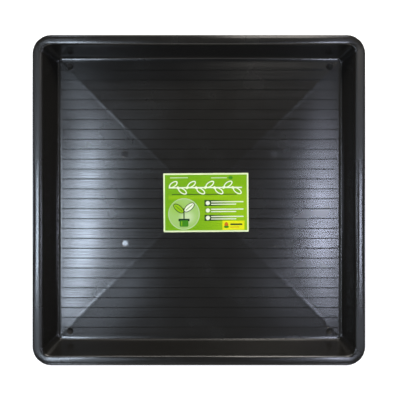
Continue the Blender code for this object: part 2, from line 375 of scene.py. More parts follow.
class Effects:
    """Shader node groups that the materials share, each built once."""

    FINE_GRAIN_SCALE = 3.1
    FINE_GRAIN_SHARE = 0.33
    FINE_STREAK_SCALE = (2.3, 3.7, 1.0)
    FINE_STREAK_SHARE = 0.4
    CLOUD_RANGE = (0.42, 0.72)
    CLOUD_SHARE = 0.5
    SPECK_SCALE = 60.0
    SPECK_RANGE = (0.62, 0.74)
    SPECK_SHARE = 0.1
    UPWARD_RANGE = (0.5, 0.95)

    def __init__(self) -> None:
        """Build every group."""
        self.grain = self._grain()
        self.streaks = self._streaks()
        self.dust = self._dust()
        self.panel = self._panel()
        self.oval = self._oval()

    def _grain(self) -> bpy.types.NodeTree:
        """Fine even grain: two sizes of noise, the finer at a third of the height."""
        nodes, given, result = new_group(
            "fine_grain",
            {"Point": "Vector", "Size": "Float"},
            {"Height": "Float"},
        )
        point = nodes.vector("DIVIDE", given.outputs["Point"], self._triple(nodes, given.outputs["Size"]))
        coarse = nodes.noise(point, 1.0, detail=1.0)
        fine = nodes.noise(point, self.FINE_GRAIN_SCALE, detail=1.0)
        total = nodes.math("MULTIPLY_ADD", fine, self.FINE_GRAIN_SHARE, coarse)
        nodes.feed(result.inputs["Height"], nodes.math("DIVIDE", total, 1.0 + self.FINE_GRAIN_SHARE))
        return nodes.tree

    @staticmethod
    def _triple(nodes: Nodes, value: Socket) -> Socket:
        """A vector whose three parts are one value."""
        return nodes.joined(value, value, value)

    def _streaks(self) -> bpy.types.NodeTree:
        """Marks left by cutting the mould: noise drawn out along X, in two widths across it."""
        nodes, given, result = new_group(
            "tool_streaks",
            {"Point": "Vector", "Width": "Float", "Length": "Float"},
            {"Height": "Float"},
        )
        x, y, _ = nodes.parts(given.outputs["Point"])
        along = nodes.math("DIVIDE", x, given.outputs["Length"])
        across = nodes.math("DIVIDE", y, given.outputs["Width"])
        point = nodes.joined(along, across, 0.0)
        broad = nodes.noise(point, 1.0, detail=1.0)
        fine = nodes.noise(nodes.vector("MULTIPLY", point, self.FINE_STREAK_SCALE), 1.0, detail=2.0)
        total = nodes.math("MULTIPLY_ADD", fine, self.FINE_STREAK_SHARE, broad)
        nodes.feed(result.inputs["Height"], nodes.math("DIVIDE", total, 1.0 + self.FINE_STREAK_SHARE))
        return nodes.tree

    def _dust(self) -> bpy.types.NodeTree:
        """Thin settled dust: soft cloudy patches broken by fine specks, on faces that look up."""
        nodes, given, result = new_group(
            "settled_dust",
            {"Point": "Vector", "Patch": "Float", "Amount": "Float"},
            {"Mask": "Float"},
        )
        point = nodes.vector("DIVIDE", given.outputs["Point"], self._triple(nodes, given.outputs["Patch"]))
        cloud = nodes.ranged(nodes.noise(point, 1.0, detail=4.0), *self.CLOUD_RANGE, 0.0, 1.0)
        speck = nodes.ranged(nodes.noise(point, self.SPECK_SCALE), *self.SPECK_RANGE, 0.0, 1.0)
        upward = nodes.parts(nodes.add("ShaderNodeNewGeometry").outputs["Normal"])[2]
        facing = nodes.ranged(upward, *self.UPWARD_RANGE, 0.0, 1.0)
        clouded = nodes.math("MULTIPLY", cloud, self.CLOUD_SHARE)
        cover = nodes.math("MULTIPLY_ADD", speck, self.SPECK_SHARE, clouded)
        nodes.feed(result.inputs["Mask"], nodes.product(cover, facing, given.outputs["Amount"]))
        return nodes.tree

    @staticmethod
    def _turned_offset(nodes: Nodes, given: bpy.types.Node) -> Socket:
        """The point less the centre, turned backwards about Z by the turn."""
        offset = nodes.vector("SUBTRACT", given.outputs["Point"], given.outputs["Centre"])
        turn = nodes.add("ShaderNodeVectorRotate", rotation_type="Z_AXIS", invert=True)
        nodes.feed(turn.inputs["Vector"], offset)
        nodes.feed(turn.inputs["Angle"], given.outputs["Turn"])
        return turn.outputs[0]

    @staticmethod
    def _print_sockets() -> dict[str, str]:
        """Inputs of a printed shape's group."""
        return {"Point": "Vector", "Centre": "Vector", "Half": "Vector", "Turn": "Float", "Soft": "Float"}

    @staticmethod
    def _inked(nodes: Nodes, distance: Socket, soft: Socket) -> Socket:
        """Mask that is 1 inside a shape and fades over the softness at its edge."""
        return nodes.ranged(distance, nodes.math("MULTIPLY", soft, -1.0), soft, 1.0, 0.0)

    def _panel(self) -> bpy.types.NodeTree:
        """Printed rounded rectangle.

        Its distance is the length of the positive parts of |offset| - half + corner, plus the
        larger part where both are negative, less the corner's radius.
        """
        nodes, given, result = new_group(
            "print_panel", {**self._print_sockets(), "Corner": "Float"}, {"Mask": "Float"}
        )
        corner = given.outputs["Corner"]
        away = nodes.vector("ABSOLUTE", self._turned_offset(nodes, given))
        outside = nodes.vector("SUBTRACT", away, given.outputs["Half"])
        x, y, _ = nodes.parts(outside)
        over_x = nodes.math("ADD", x, corner)
        over_y = nodes.math("ADD", y, corner)
        beyond = nodes.joined(nodes.math("MAXIMUM", over_x, 0.0), nodes.math("MAXIMUM", over_y, 0.0), 0.0)
        within = nodes.math("MINIMUM", nodes.math("MAXIMUM", over_x, over_y), 0.0)
        total = nodes.math("ADD", nodes.vector("LENGTH", beyond), within)
        distance = nodes.math("SUBTRACT", total, corner)
        nodes.feed(result.inputs["Mask"], self._inked(nodes, distance, given.outputs["Soft"]))
        return nodes.tree

    def _oval(self) -> bpy.types.NodeTree:
        """Printed ellipse: its distance is |offset / half| - 1, times the smaller half."""
        nodes, given, result = new_group("print_oval", self._print_sockets(), {"Mask": "Float"})
        x, y, _ = nodes.parts(given.outputs["Half"])
        share = nodes.vector("DIVIDE", self._turned_offset(nodes, given), nodes.joined(x, y, 1.0))
        length = nodes.vector("LENGTH", nodes.vector("MULTIPLY", share, (1.0, 1.0, 0.0)))
        distance = nodes.math("MULTIPLY", nodes.math("SUBTRACT", length, 1.0), nodes.math("MINIMUM", x, y))
        nodes.feed(result.inputs["Mask"], self._inked(nodes, distance, given.outputs["Soft"]))
        return nodes.tree


def new_material(name: str) -> tuple[bpy.types.Material, Nodes, bpy.types.Node]:
    """Start a material.

    Args:
        name: the material's name.

    Returns:
        The material, its nodes and its Principled shader.
    """
    material = bpy.data.materials.new(name)
    material.use_nodes = True
    nodes = Nodes(material.node_tree)
    return material, nodes, material.node_tree.nodes["Principled BSDF"]


# The moulding


@dataclass(frozen=True)
class TraySizes:
    """Driving sizes of the moulding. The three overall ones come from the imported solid."""

    length_x: float
    length_y: float
    height: float
    wall: float = 0.0022
    outer_corner_r: float = 0.034
    rim_outer_width: float = 0.0070
    rim_outer_height: float = 0.0031
    rim_outer_power: float = 3.4
    rim_top_flat: float = 0.0015
    rim_fall: float = 0.035
    rim_roll_width: float = 0.0103
    rim_roll_height: float = 0.0108
    rim_roll_power: float = 4.0
    lip_drop: float = 0.0125
    wall_taper: float = math.radians(12.5)
    cove_width: float = 0.0070
    cove_height: float = 0.0036
    cove_power: float = 4.2
    cove_lead: float = 0.09
    cross_taper: float = math.radians(14.2)
    cross_cove_width: float = 0.0099
    cross_cove_height: float = 0.0050
    cross_cove_power: float = 4.6
    cross_floor_inset: float = 0.041200
    floor_inset: float = 0.037500
    floor_corner_r: float = 0.0028
    floor_rise: float = 0.0024
    hip_half_width: float = 0.0055
    hip_rise: float = 0.00008
    hip_blend: float = 0.030
    groove_pitch: float = 0.01887
    groove_half_top: float = 0.00095
    groove_half_bottom: float = 0.00015
    groove_depth: float = 0.0008
    groove_end_gap: float = 0.0060
    foot_drop: float = 0.0040
    foot_flat_r: float = 0.0045
    well_r: float = 0.0063
    well_power: float = 1.3
    well_gap_x: float = 0.010872
    well_gap_y: float = 0.000272
    dish_x: float = 0.1425
    dish_pitches: float = 4.5
    dish_r: float = 0.0063
    dish_depth: float = 0.0006
    dish_edge: float = 1.3

    @classmethod
    def from_frame(cls) -> "TraySizes":
        """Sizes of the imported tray."""
        low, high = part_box("tray_shell")
        size = high - low
        return cls(length_x=size.x, length_y=size.y, height=size.z)

    @property
    def floor_z(self) -> float:
        """Height of the floor's edge."""
        return self.foot_drop + self.wall

    @property
    def rim_inner_inset(self) -> float:
        """Inset at which the rim's flat top ends."""
        return self.rim_outer_width + self.rim_top_flat

    @property
    def cove_sweep(self) -> float:
        """Angle on the cove's curve at which it runs into the wall, where its slope is the wall's."""
        steepness = self.cove_width / (self.cove_height * math.tan(self.wall_taper))
        return math.atan(steepness ** (1.0 / (2.0 - 2.0 / self.cove_power)))

    @property
    def roll_end(self) -> float:
        """Angle on the rim's roll at which it runs into the wall, where its slope is the wall's."""
        wall_slope = 1.0 / math.tan(self.wall_taper) - self.rim_fall
        steepness = wall_slope * self.rim_roll_width / self.rim_roll_height
        return math.atan(steepness ** (1.0 / (2.0 - 2.0 / self.rim_roll_power)))

    def across(self) -> "TraySizes":
        """The same sizes, with the tighter foot and the taper of the two walls that face along Y."""
        return replace(
            self,
            cove_lead=0.0,
            floor_inset=self.cross_floor_inset,
            wall_taper=self.cross_taper,
            cove_width=self.cross_cove_width,
            cove_height=self.cross_cove_height,
            cove_power=self.cross_cove_power,
        )

    @property
    def floor_half(self) -> Array:
        """Half of the floor's length and width."""
        inset = np.array((self.floor_inset, self.cross_floor_inset))
        return np.array((self.length_x, self.length_y)) / 2.0 - inset

    @property
    def well_place(self) -> Array:
        """Centre of the corner well at +X +Y."""
        return self.floor_half - (self.well_gap_x, self.well_gap_y) - self.well_r

    @property
    def dish_place(self) -> Array:
        """Centre of the gate dish at +X +Y."""
        return np.array((self.dish_x, self.dish_pitches * self.groove_pitch))

    def pyramid(self, x: Array, y: Array) -> Array:
        """Height of the plain floor: its edge plus the rise times one less the outward share.

        The outward share is the larger of |x| and |y| over their halves. Within the blend of
        the hips a quarter of the blend, times the nearness squared, is added to round them.

        Args:
            x: places along X.
            y: places along Y.

        Returns:
            The heights.
        """
        half_x, half_y = self.floor_half
        share_x, share_y = np.abs(x) / half_x, np.abs(y) / half_y
        outer = np.maximum(share_x, share_y)
        nearness = np.clip(1.0 - np.abs(share_x - share_y) / self.hip_blend, 0.0, 1.0)
        rounding = self.hip_blend / 4.0 * nearness**2 * np.clip((1.0 - outer) / self.hip_blend, 0.0, 1.0)
        return self.floor_z + self.floor_rise * (1.0 - outer - rounding)


class RimProfile:
    """Section of the moulding outside its floor, as rows of inset, height and corner radius."""

    COVE_STEPS = 16
    SHOULDER_STEPS = 16
    LIP_STEPS = 8
    WALL_STEPS = 5
    UNDER_WALL_STEPS = 3
    CLOSENESS = 1.5

    def __init__(self, sizes: TraySizes) -> None:
        """Keep the sizes."""
        self.sizes = sizes

    def _rows(self, inset: Array, height: Array, radius_at_outline: float) -> Array:
        """Rows of a stretch whose corners stay concentric with the outline's corner."""
        return np.column_stack((inset, height, radius_at_outline - inset))

    def cove(self, depth: float) -> Array:
        """From the floor to the wall, on a superellipse moved down its normal by depth.

        Its run is the width times the sine to the power 2/n, its rise is the height less the
        height times the cosine to that power, and its slope is height over width times the
        tangent to the power 2 - 2/n. The lead adds an even slope from the floor's edge on.
        """
        sizes = self.sizes
        share = 2.0 / sizes.cove_power
        angle = sizes.cove_sweep * np.linspace(0.0, 1.0, self.COVE_STEPS + 1) ** self.CLOSENESS
        slope = sizes.cove_height / sizes.cove_width * np.tan(angle) ** (2.0 - share)
        tilt = np.arctan(slope + sizes.cove_lead)
        run = sizes.cove_width * np.sin(angle) ** share
        inset = sizes.floor_inset - run - depth * np.sin(tilt)
        height = sizes.floor_z + sizes.cove_height * (1.0 - np.cos(angle) ** share)
        height += sizes.cove_lead * run - depth * np.cos(tilt)
        return self._rows(inset, height, sizes.floor_corner_r + sizes.floor_inset)

    def roll(self, depth: float) -> Array:
        """Inner side of the rim: a superellipse from the wall up to the top, moved in by depth.

        The fall adds an even slope inwards from the outer side on.
        """
        sizes = self.sizes
        share = 2.0 / sizes.rim_roll_power
        angle = sizes.roll_end * np.linspace(1.0, 0.0, self.SHOULDER_STEPS + 1) ** self.CLOSENESS
        run = sizes.rim_roll_width * np.sin(angle) ** share
        drop = sizes.rim_roll_height * (1.0 - np.cos(angle) ** share)
        drop += sizes.rim_fall * (run + sizes.rim_top_flat)
        slope = sizes.rim_roll_height / sizes.rim_roll_width * np.tan(angle) ** (2.0 - share)
        tilt = np.arctan(slope + sizes.rim_fall)
        inset = sizes.rim_inner_inset + run - depth * np.sin(tilt)
        return self._rows(inset, sizes.height - drop - depth * np.cos(tilt), sizes.outer_corner_r)

    def shoulder(self, depth: float) -> Array:
        """Outer side of the rim: a superellipse from the top down to the lip, moved in by depth."""
        sizes = self.sizes
        share = 2.0 / sizes.rim_outer_power
        angle = math.pi / 2.0 * np.linspace(0.0, 1.0, self.SHOULDER_STEPS + 1)
        steep = np.tan(angle[:-1]) ** (2.0 - share) * sizes.rim_outer_height / sizes.rim_outer_width
        tilt = np.append(np.arctan(steep), math.pi / 2.0)
        inset = sizes.rim_outer_width * (1.0 - np.sin(angle) ** share) + depth * np.sin(tilt)
        drop = sizes.rim_outer_height * (1.0 - np.clip(np.cos(angle), 0.0, 1.0) ** share)
        return self._rows(inset, sizes.height - drop - depth * np.cos(tilt), sizes.outer_corner_r)

    def rim(self, depth: float) -> Array:
        """From the top of the wall over the rim to the lip, at a depth under the surface."""
        return np.vstack((self.roll(depth), self.shoulder(depth)))

    def lip(self) -> Array:
        """Round lower edge of the lip: half a circle as wide as the wall."""
        sizes = self.sizes
        half = sizes.wall / 2.0
        angle = np.linspace(math.pi, 2.0 * math.pi, self.LIP_STEPS + 1)
        height = sizes.height - sizes.lip_drop + half + half * np.sin(angle)
        return self._rows(half + half * np.cos(angle), height, sizes.outer_corner_r)

    @staticmethod
    def between(start: Array, end: Array, steps: int) -> Array:
        """Rows strictly between two others, evenly spaced."""
        share = np.linspace(0.0, 1.0, steps + 1)[1:-1, None]
        return start + share * (end - start)

    def upper(self) -> Array:
        """Rows of the upper face, from just outside the floor to the lip's lower edge."""
        cove = self.cove(0.0)
        rim = self.rim(0.0)
        lip = self.lip()
        return np.vstack((cove[1:], self.between(cove[-1], rim[0], self.WALL_STEPS), rim, lip))

    def under(self) -> Array:
        """Rows of the lower face, half as close, from inside the lip back to just outside the floor."""
        wall = self.sizes.wall
        cove = self.cove(wall)[::-2]
        rim = np.vstack((self.roll(wall)[::2], self.shoulder(wall)[::2]))[::-1]
        return np.vstack((rim, self.between(rim[-1], cove[0], self.UNDER_WALL_STEPS), cove[:-1]))


def carried(sizes: TraySizes, rows: Array, cross_rows: Array, edge: Array) -> Array:
    """Carry two sections of the surround round the floor's edge.

    Each edge point has a nearest core point, inside the corner's centre, and a direction from
    it. A row scales the core points to its own core and goes its corner radius along the
    directions. X comes from one section and Y from the other, and the height goes from the
    first to the second as the square of the direction's Y goes from 0 to 1.

    Args:
        sizes: the moulding's sizes.
        rows: inset, height and corner radius where the walls face along X.
        cross_rows: the same where they face along Y.
        edge: points round the floor's edge.

    Returns:
        Points, rows by edge points.
    """
    floor_core = sizes.floor_half - sizes.floor_corner_r
    core = np.clip(edge[:, :2], -floor_core, floor_core)
    direction = (edge[:, :2] - core) / sizes.floor_corner_r
    outline = np.array((sizes.length_x, sizes.length_y)) / 2.0
    inset, radius = (np.column_stack((rows[:, item], cross_rows[:, item])) for item in (0, 2))
    scale = (outline - inset - radius) / floor_core
    flat = core * scale[:, None] + radius[:, None] * direction
    share = direction[:, 1] ** 2
    height = rows[:, 1:2] * (1.0 - share) + cross_rows[:, 1:2] * share
    return np.concatenate((flat, height[..., None]), axis=-1)


class FloorPlan:
    """Grid on the floor: its rows follow the grooves and its columns follow the creases."""

    RING_STEPS = 6
    GUARD = 0.00015
    ROW_GAP = 0.0180
    COLUMN_GAP = 0.026
    MIDDLE_COLUMNS = 7
    CREASE_START = 0.024

    def __init__(self, sizes: TraySizes) -> None:
        """Work out the lines."""
        self.sizes = sizes
        self.rings = sizes.well_r * np.sin(np.linspace(0.0, math.pi / 2.0, self.RING_STEPS + 1))
        self.window = mirrored(np.append(self.rings, sizes.well_r + self.GUARD))
        self.grooves = self._grooves()

    def _grooves(self) -> Array:
        """Y of each groove: as many whole pitches each side of the middle as the floor holds."""
        sizes = self.sizes
        room = sizes.floor_half[1] - sizes.groove_end_gap - sizes.groove_half_top
        count = int(room / sizes.groove_pitch)
        return np.arange(-count, count + 1) * sizes.groove_pitch

    def _rows(self) -> Array:
        """Y of every row: groove edges, dish and well rings, the corner cell, and some between."""
        sizes = self.sizes
        section = np.array((sizes.groove_half_bottom, sizes.groove_half_top))
        edges = (self.grooves[:, None] + mirrored(section)).ravel()
        limit = sizes.floor_half[1]
        rings = np.concatenate((sizes.dish_place[1] + self.window, sizes.well_place[1] + self.window))
        corner = np.array((limit - sizes.floor_corner_r, limit))
        half = np.concatenate((rings[rings < limit], corner))
        return filled(np.concatenate((edges, mirrored(half))), self.ROW_GAP)

    def _columns(self, y: Array) -> Array:
        """X of every column, for each row.

        From the middle outwards there are even columns up to the crease, a bundle along the crease
        at the ring distances, and then fixed columns that the crease pushes outwards as it nears
        the corner.

        Args:
            y: places of the rows.

        Returns:
            Places along X, rows by columns.
        """
        sizes = self.sizes
        half_x, half_y = sizes.floor_half
        crease = np.clip(np.abs(y) * half_x / half_y, self.CREASE_START, sizes.well_place[0])[:, None]
        bundle = crease + self.window
        middle = bundle[:, :1] * np.linspace(0.0, 1.0, self.MIDDLE_COLUMNS, endpoint=False)
        corner_x = half_x - sizes.floor_corner_r
        keys = np.concatenate(((self.CREASE_START,), sizes.dish_place[0] + self.window, (corner_x,)))
        fixed = filled(keys, self.COLUMN_GAP)[1:-1]
        room = corner_x - sizes.well_place[0] - self.window[-1]
        pushed = bundle[:, -1:] + room * np.arange(1, len(fixed) + 1) / (len(fixed) + 1)
        side = np.maximum(fixed, pushed)
        cell = np.linspace(corner_x, half_x, 4)
        half = np.hstack((middle, bundle, side, np.broadcast_to(cell, (len(y), len(cell)))))
        return np.hstack((-half[:, :0:-1], half))

    @staticmethod
    def ring_distance(x: Array, y: Array, place: Array) -> Array:
        """Larger of the X and Y distances to the nearest of the four mirrored places."""
        return np.maximum(np.abs(np.abs(x) - place[0]), np.abs(np.abs(y) - place[1]))

    def _round_rings(self, x: Array, y: Array, place: Array) -> tuple[Array, Array]:
        """Draw the square rings round a place in to circles of the same reach.

        Args:
            x: places along X.
            y: places along Y.
            place: centre of the rings at +X +Y.

        Returns:
            The new places.
        """
        u = np.abs(x) - place[0]
        v = np.abs(y) - place[1]
        reach = np.maximum(np.abs(u), np.abs(v))
        share = reach / np.maximum(np.hypot(u, v), 1e-9)
        radius = self.sizes.well_r
        weight = np.clip((radius + self.GUARD - reach) / self.GUARD, 0.0, 1.0)
        factor = 1.0 + weight * (share - 1.0)
        inside = (weight > 0.0) & (reach > 1e-9)
        new_x = np.sign(x) * (place[0] + u * factor)
        new_y = np.sign(y) * (place[1] + v * factor)
        return np.where(inside, new_x, x), np.where(inside, new_y, y)

    def lay_out(self) -> tuple[Array, Array, Array, Array]:
        """Lay the whole grid out.

        Returns:
            X and Y of the grid, and each point's ring distance to its well and to its dish.
        """
        rows = self._rows()
        x = self._columns(rows)
        y = np.broadcast_to(rows[:, None], x.shape)
        to_well = self.ring_distance(x, y, self.sizes.well_place)
        to_dish = self.ring_distance(x, y, self.sizes.dish_place)
        x, y = self._round_rings(x, y, self.sizes.well_place)
        x, y = self._round_rings(x, y, self.sizes.dish_place)
        radius = self.sizes.floor_corner_r
        x, y = rounded_corners(x, y, self.sizes.floor_half - radius, radius)
        return x, y, to_well, to_dish


@dataclass(frozen=True)
class PlasticFinish:
    """Black polypropylene with a soft gloss, streaked along X on the floor by the mould."""

    colour: Colour = (0.0132, 0.0124, 0.0108)
    dust_colour: Colour = (0.060, 0.062, 0.060)
    roughness: float = 0.155
    wall_roughness: float = 0.27
    rim_roughness: float = 0.15
    rim_wear: float = 0.19
    well_roughness: float = 0.80
    streak_roughness: float = 0.060
    specular: float = 0.5
    streak_width: float = 0.0024
    streak_length: float = 0.30
    streak_height: float = 0.000015
    grain_size: float = 0.0011
    grain_height: float = 0.0000005
    dust_patch: float = 0.07
    dust_amount: float = 0.10
    dust_dulling: float = 0.3
    wall_fade: float = 0.004
    rim_fade: float = 0.003
    well_fade: float = 0.0006
    wear_front: tuple[float, float] = (0.83, 0.37)
    wear_back: tuple[float, float] = (0.02, 0.40)
    wear_side_fade: float = 0.030
    wear_depths: tuple[float, float] = (0.010, 0.006)

    def material(self, sizes: TraySizes, effects: Effects) -> bpy.types.Material:
        """Make the material.

        Args:
            sizes: the moulding's sizes, which say where its floor lies.
            effects: the shared node groups.

        Returns:
            The material.
        """
        material, nodes, shader = new_material("black_moulded_plastic")
        point = nodes.object_point()
        on_floor = self._floor_mask(nodes, point, sizes)
        streaks = nodes.group(
            effects.streaks, point=point, width=self.streak_width, length=self.streak_length
        )
        grain = nodes.group(effects.grain, point=point, size=self.grain_size)
        dust = nodes.group(effects.dust, point=point, patch=self.dust_patch, amount=self.dust_amount)
        dusty = nodes.mix(dust.outputs["Mask"], self.colour, self.dust_colour)
        nodes.feed(shader.inputs["Base Color"], dusty)
        swing = nodes.math("SUBTRACT", streaks.outputs["Height"], 0.5)
        streaked = nodes.product(swing, on_floor, self.streak_roughness * 2.0)
        foot = sizes.floor_z + sizes.cove_height
        z = nodes.parts(point)[2]
        on_wall = nodes.ranged(z, foot, foot + self.wall_fade, 0.0, self.wall_roughness - self.roughness)
        top = sizes.height - sizes.rim_roll_height
        rim_change = self.rim_roughness - self.wall_roughness
        on_rim = nodes.ranged(z, top, top + self.rim_fade, 0.0, rim_change)
        worn = nodes.math("MULTIPLY", self._worn_rim(nodes, point, sizes), self.rim_wear)
        well_change = self.well_roughness - self.roughness
        in_wells = nodes.math("MULTIPLY", self._in_wells(nodes, point, sizes), well_change)
        above_floor = nodes.math("ADD", nodes.math("ADD", on_wall, on_rim), worn)
        base = nodes.math("ADD", nodes.math("ADD", above_floor, in_wells), self.roughness)
        dulled = nodes.math("MULTIPLY_ADD", dust.outputs["Mask"], self.dust_dulling, base)
        nodes.feed(shader.inputs["Roughness"], nodes.math("ADD", dulled, streaked))
        grained = nodes.bump(grain.outputs["Height"], self.grain_height)
        height = nodes.math("MULTIPLY", streaks.outputs["Height"], on_floor)
        nodes.feed(shader.inputs["Normal"], nodes.bump(height, self.streak_height, grained))
        shader.inputs["Specular IOR Level"].default_value = self.specular
        return material

    def _worn_rim(self, nodes: Nodes, point: Socket, sizes: TraySizes) -> Socket:
        """Mask that grows to 1 towards both ends of the two side rims, dulled by handling."""
        _, y, z = nodes.parts(point)
        far_x, far_y, _ = nodes.parts(nodes.vector("ABSOLUTE", point))
        half_y = sizes.length_y / 2.0
        front = nodes.ranged(y, *(-half_y * share for share in self.wear_front), 1.0, 0.0)
        back = nodes.ranged(y, *(half_y * share for share in self.wear_back), 0.0, 1.0)
        beside = nodes.math("SUBTRACT", far_x, far_y)
        at_side = nodes.ranged(beside, 0.0, self.wear_side_fade, 0.0, 1.0)
        on_top = nodes.ranged(z, *(sizes.height - depth for depth in self.wear_depths), 0.0, 1.0)
        return nodes.product(nodes.math("MAXIMUM", front, back), at_side, on_top)

    def _in_wells(self, nodes: Nodes, point: Socket, sizes: TraySizes) -> Socket:
        """Mask that is 1 inside the four corner wells, which the mould leaves matt."""
        place = (sizes.well_place[0], sizes.well_place[1], 0.0)
        offset = nodes.vector("SUBTRACT", nodes.vector("ABSOLUTE", point), place)
        distance = nodes.vector("LENGTH", nodes.vector("MULTIPLY", offset, (1.0, 1.0, 0.0)))
        return nodes.ranged(distance, sizes.well_r - self.well_fade, sizes.well_r, 1.0, 0.0)

    @staticmethod
    def _floor_mask(nodes: Nodes, point: Socket, sizes: TraySizes) -> Socket:
        """Mask that is 1 on the floor's upper face and fades out over the first of the cove."""
        half_x, half_y = sizes.floor_half
        x, y, z = nodes.parts(nodes.vector("ABSOLUTE", point))
        fade = sizes.cove_width / 3.0
        inside_x = nodes.ranged(x, half_x, half_x + fade, 1.0, 0.0)
        inside_y = nodes.ranged(y, half_y, half_y + fade, 1.0, 0.0)
        above = nodes.ranged(z, sizes.floor_z - sizes.wall, sizes.floor_z - sizes.groove_depth, 0.0, 1.0)
        return nodes.product(inside_x, inside_y, above)


@dataclass
class Moulding:
    """The tray itself: one moulding with its floor, walls, rim, gussets and hollow feet."""

    sizes: TraySizes
    finish: PlasticFinish
    gusset_t: float = 0.0016
    gusset_from_end: float = 0.111
    gusset_spacing: float = 0.084
    gusset_setback: float = 0.0015
    gusset_shoulder_gap: float = 0.002
    foot_steps: int = 48
    foot_rings: int = 9
    foot_skin: float = 0.0005
    sharp_angle: float = math.radians(19.0)
    dish_leans: tuple[tuple[float, float, float], ...] = (
        (1.0, 1.0, 0.020),
        (-1.0, 1.0, -0.020),
        (-1.0, -1.0, 0.042),
        (1.0, -1.0, 0.004),
    )

    def _hip(self, x: Array, y: Array) -> Array:
        """Bead along the creases: its rise times (1 - share squared) squared, across its width."""
        half_x, half_y = self.sizes.floor_half
        across = np.abs(np.abs(x) * half_y - np.abs(y) * half_x) / math.hypot(half_x, half_y)
        share = np.clip(across / self.sizes.hip_half_width, 0.0, 1.0)
        return self.sizes.hip_rise * (1.0 - share**2) ** 2

    def _groove(self, x: Array, y: Array, plan: FloorPlan) -> Array:
        """Depth of the grooves: flat below, with straight sides, and ending inside the floor."""
        sizes = self.sizes
        nearest = np.round(y / sizes.groove_pitch) * sizes.groove_pitch
        away = np.abs(y - nearest)
        run = sizes.groove_half_top - sizes.groove_half_bottom
        depth = sizes.groove_depth * np.clip((sizes.groove_half_top - away) / run, 0.0, 1.0)
        cells_left = (sizes.floor_half[0] - np.abs(x)) * 3.0 / sizes.floor_corner_r
        depth = depth * np.clip(cells_left - 1.0, 0.0, 1.0)
        return np.where(np.abs(nearest) <= plan.grooves[-1] + 1e-6, depth, 0.0)

    def _well(self, distance: Array) -> Array:
        """Depth of the corner wells: a cone a little hollow, one less the share to a power."""
        share = np.clip(distance / self.sizes.well_r, 0.0, 1.0)
        return self.sizes.foot_drop * (1.0 - share**self.sizes.well_power)

    def _bulge(self, distance: Array) -> Array:
        """Drop of the shell's lower face below the wells: half an ellipse in section."""
        share = np.clip(distance / self.sizes.well_r, 0.0, 1.0)
        return (self.sizes.foot_drop - self.sizes.wall / 2.0) * np.sqrt(1.0 - share**2)

    def _dish(self, distance: Array, x: Array, y: Array) -> Array:
        """Depth of the gate dishes: flat, with a sloping edge, and each leaning its own way."""
        sizes = self.sizes
        edge = smooth_step((sizes.dish_r - distance) / (sizes.dish_depth * sizes.dish_edge))
        lean = np.zeros_like(x)
        for sign_x, sign_y, slope in self.dish_leans:
            here = (np.sign(x) == sign_x) & (np.sign(y) == sign_y)
            lean = np.where(here, slope * (np.abs(x) - sizes.dish_x), lean)
        return (sizes.dish_depth + lean) * edge

    def _shell(self, parts: MeshParts) -> None:
        """The floor, cove, walls, rim and lip, inside and out, as one closed body."""
        sizes = self.sizes
        plan = FloorPlan(sizes)
        profile = RimProfile(sizes)
        x, y, to_well, to_dish = plan.lay_out()
        base = sizes.pyramid(x, y)
        groove = self._groove(x, y, plan)
        dish = np.where(to_dish < sizes.dish_r, self._dish(to_dish, x, y), 0.0)
        well = np.where(to_well < sizes.well_r, self._well(to_well), 0.0)
        hip = np.where(to_well < sizes.well_r, 0.0, self._hip(x, y))
        upper = np.stack((x, y, base + hip - groove - dish - well), axis=-1)
        bulge = np.where(to_well < sizes.well_r, self._bulge(to_well), 0.0)
        lower = np.stack((x, y, base - sizes.wall - bulge), axis=-1)
        cross = RimProfile(sizes.across())
        edge = edge_loop(upper)
        outer = carried(sizes, profile.upper(), cross.upper(), edge)
        inner = carried(sizes, profile.under(), cross.under(), edge)
        parts.add_shell(upper, lower, np.concatenate((outer, inner)))

    def _feet(self, parts: MeshParts) -> None:
        """Four hollow feet, cups whose inside lies just under the wells' lower face."""
        sizes = self.sizes
        outer_r = sizes.well_r + sizes.wall
        angle = np.linspace(math.pi / 2.0, 0.0, self.foot_rings)
        side_r = sizes.foot_flat_r + (outer_r - sizes.foot_flat_r) * np.cos(angle)
        side_z = sizes.foot_drop * (1.0 - np.sin(angle))
        inside_z = sizes.foot_drop + sizes.wall / 2.0
        reach = sizes.well_r + self.foot_skin
        drop = sizes.foot_drop + self.foot_skin
        start = math.asin((sizes.floor_z - inside_z) / drop)
        turn = np.linspace(start, math.pi / 2.0, self.foot_rings)
        inner_r = reach * np.cos(turn)
        inner_z = sizes.floor_z - drop * np.sin(turn)
        radius = np.concatenate(((0.0,), side_r, (outer_r,), inner_r[:-1], (0.0,)))
        height = np.concatenate(((0.0,), side_z, (inside_z,), inner_z))
        profile = np.column_stack((radius, height))
        for sign_x, sign_y in ((1, 1), (-1, 1), (-1, -1), (1, -1)):
            place = np.array((sign_x * sizes.well_place[0], sign_y * sizes.well_place[1], 0.0))
            parts.add_turned(profile, place, self.foot_steps)

    def _gusset_places(self, half_length: float) -> Array:
        """Places of the gussets along a side, from both ends towards its middle."""
        first = half_length - self.gusset_from_end
        count = math.ceil((first - self.gusset_spacing / 2.0) / self.gusset_spacing)
        return mirrored(first - self.gusset_spacing * np.arange(count))

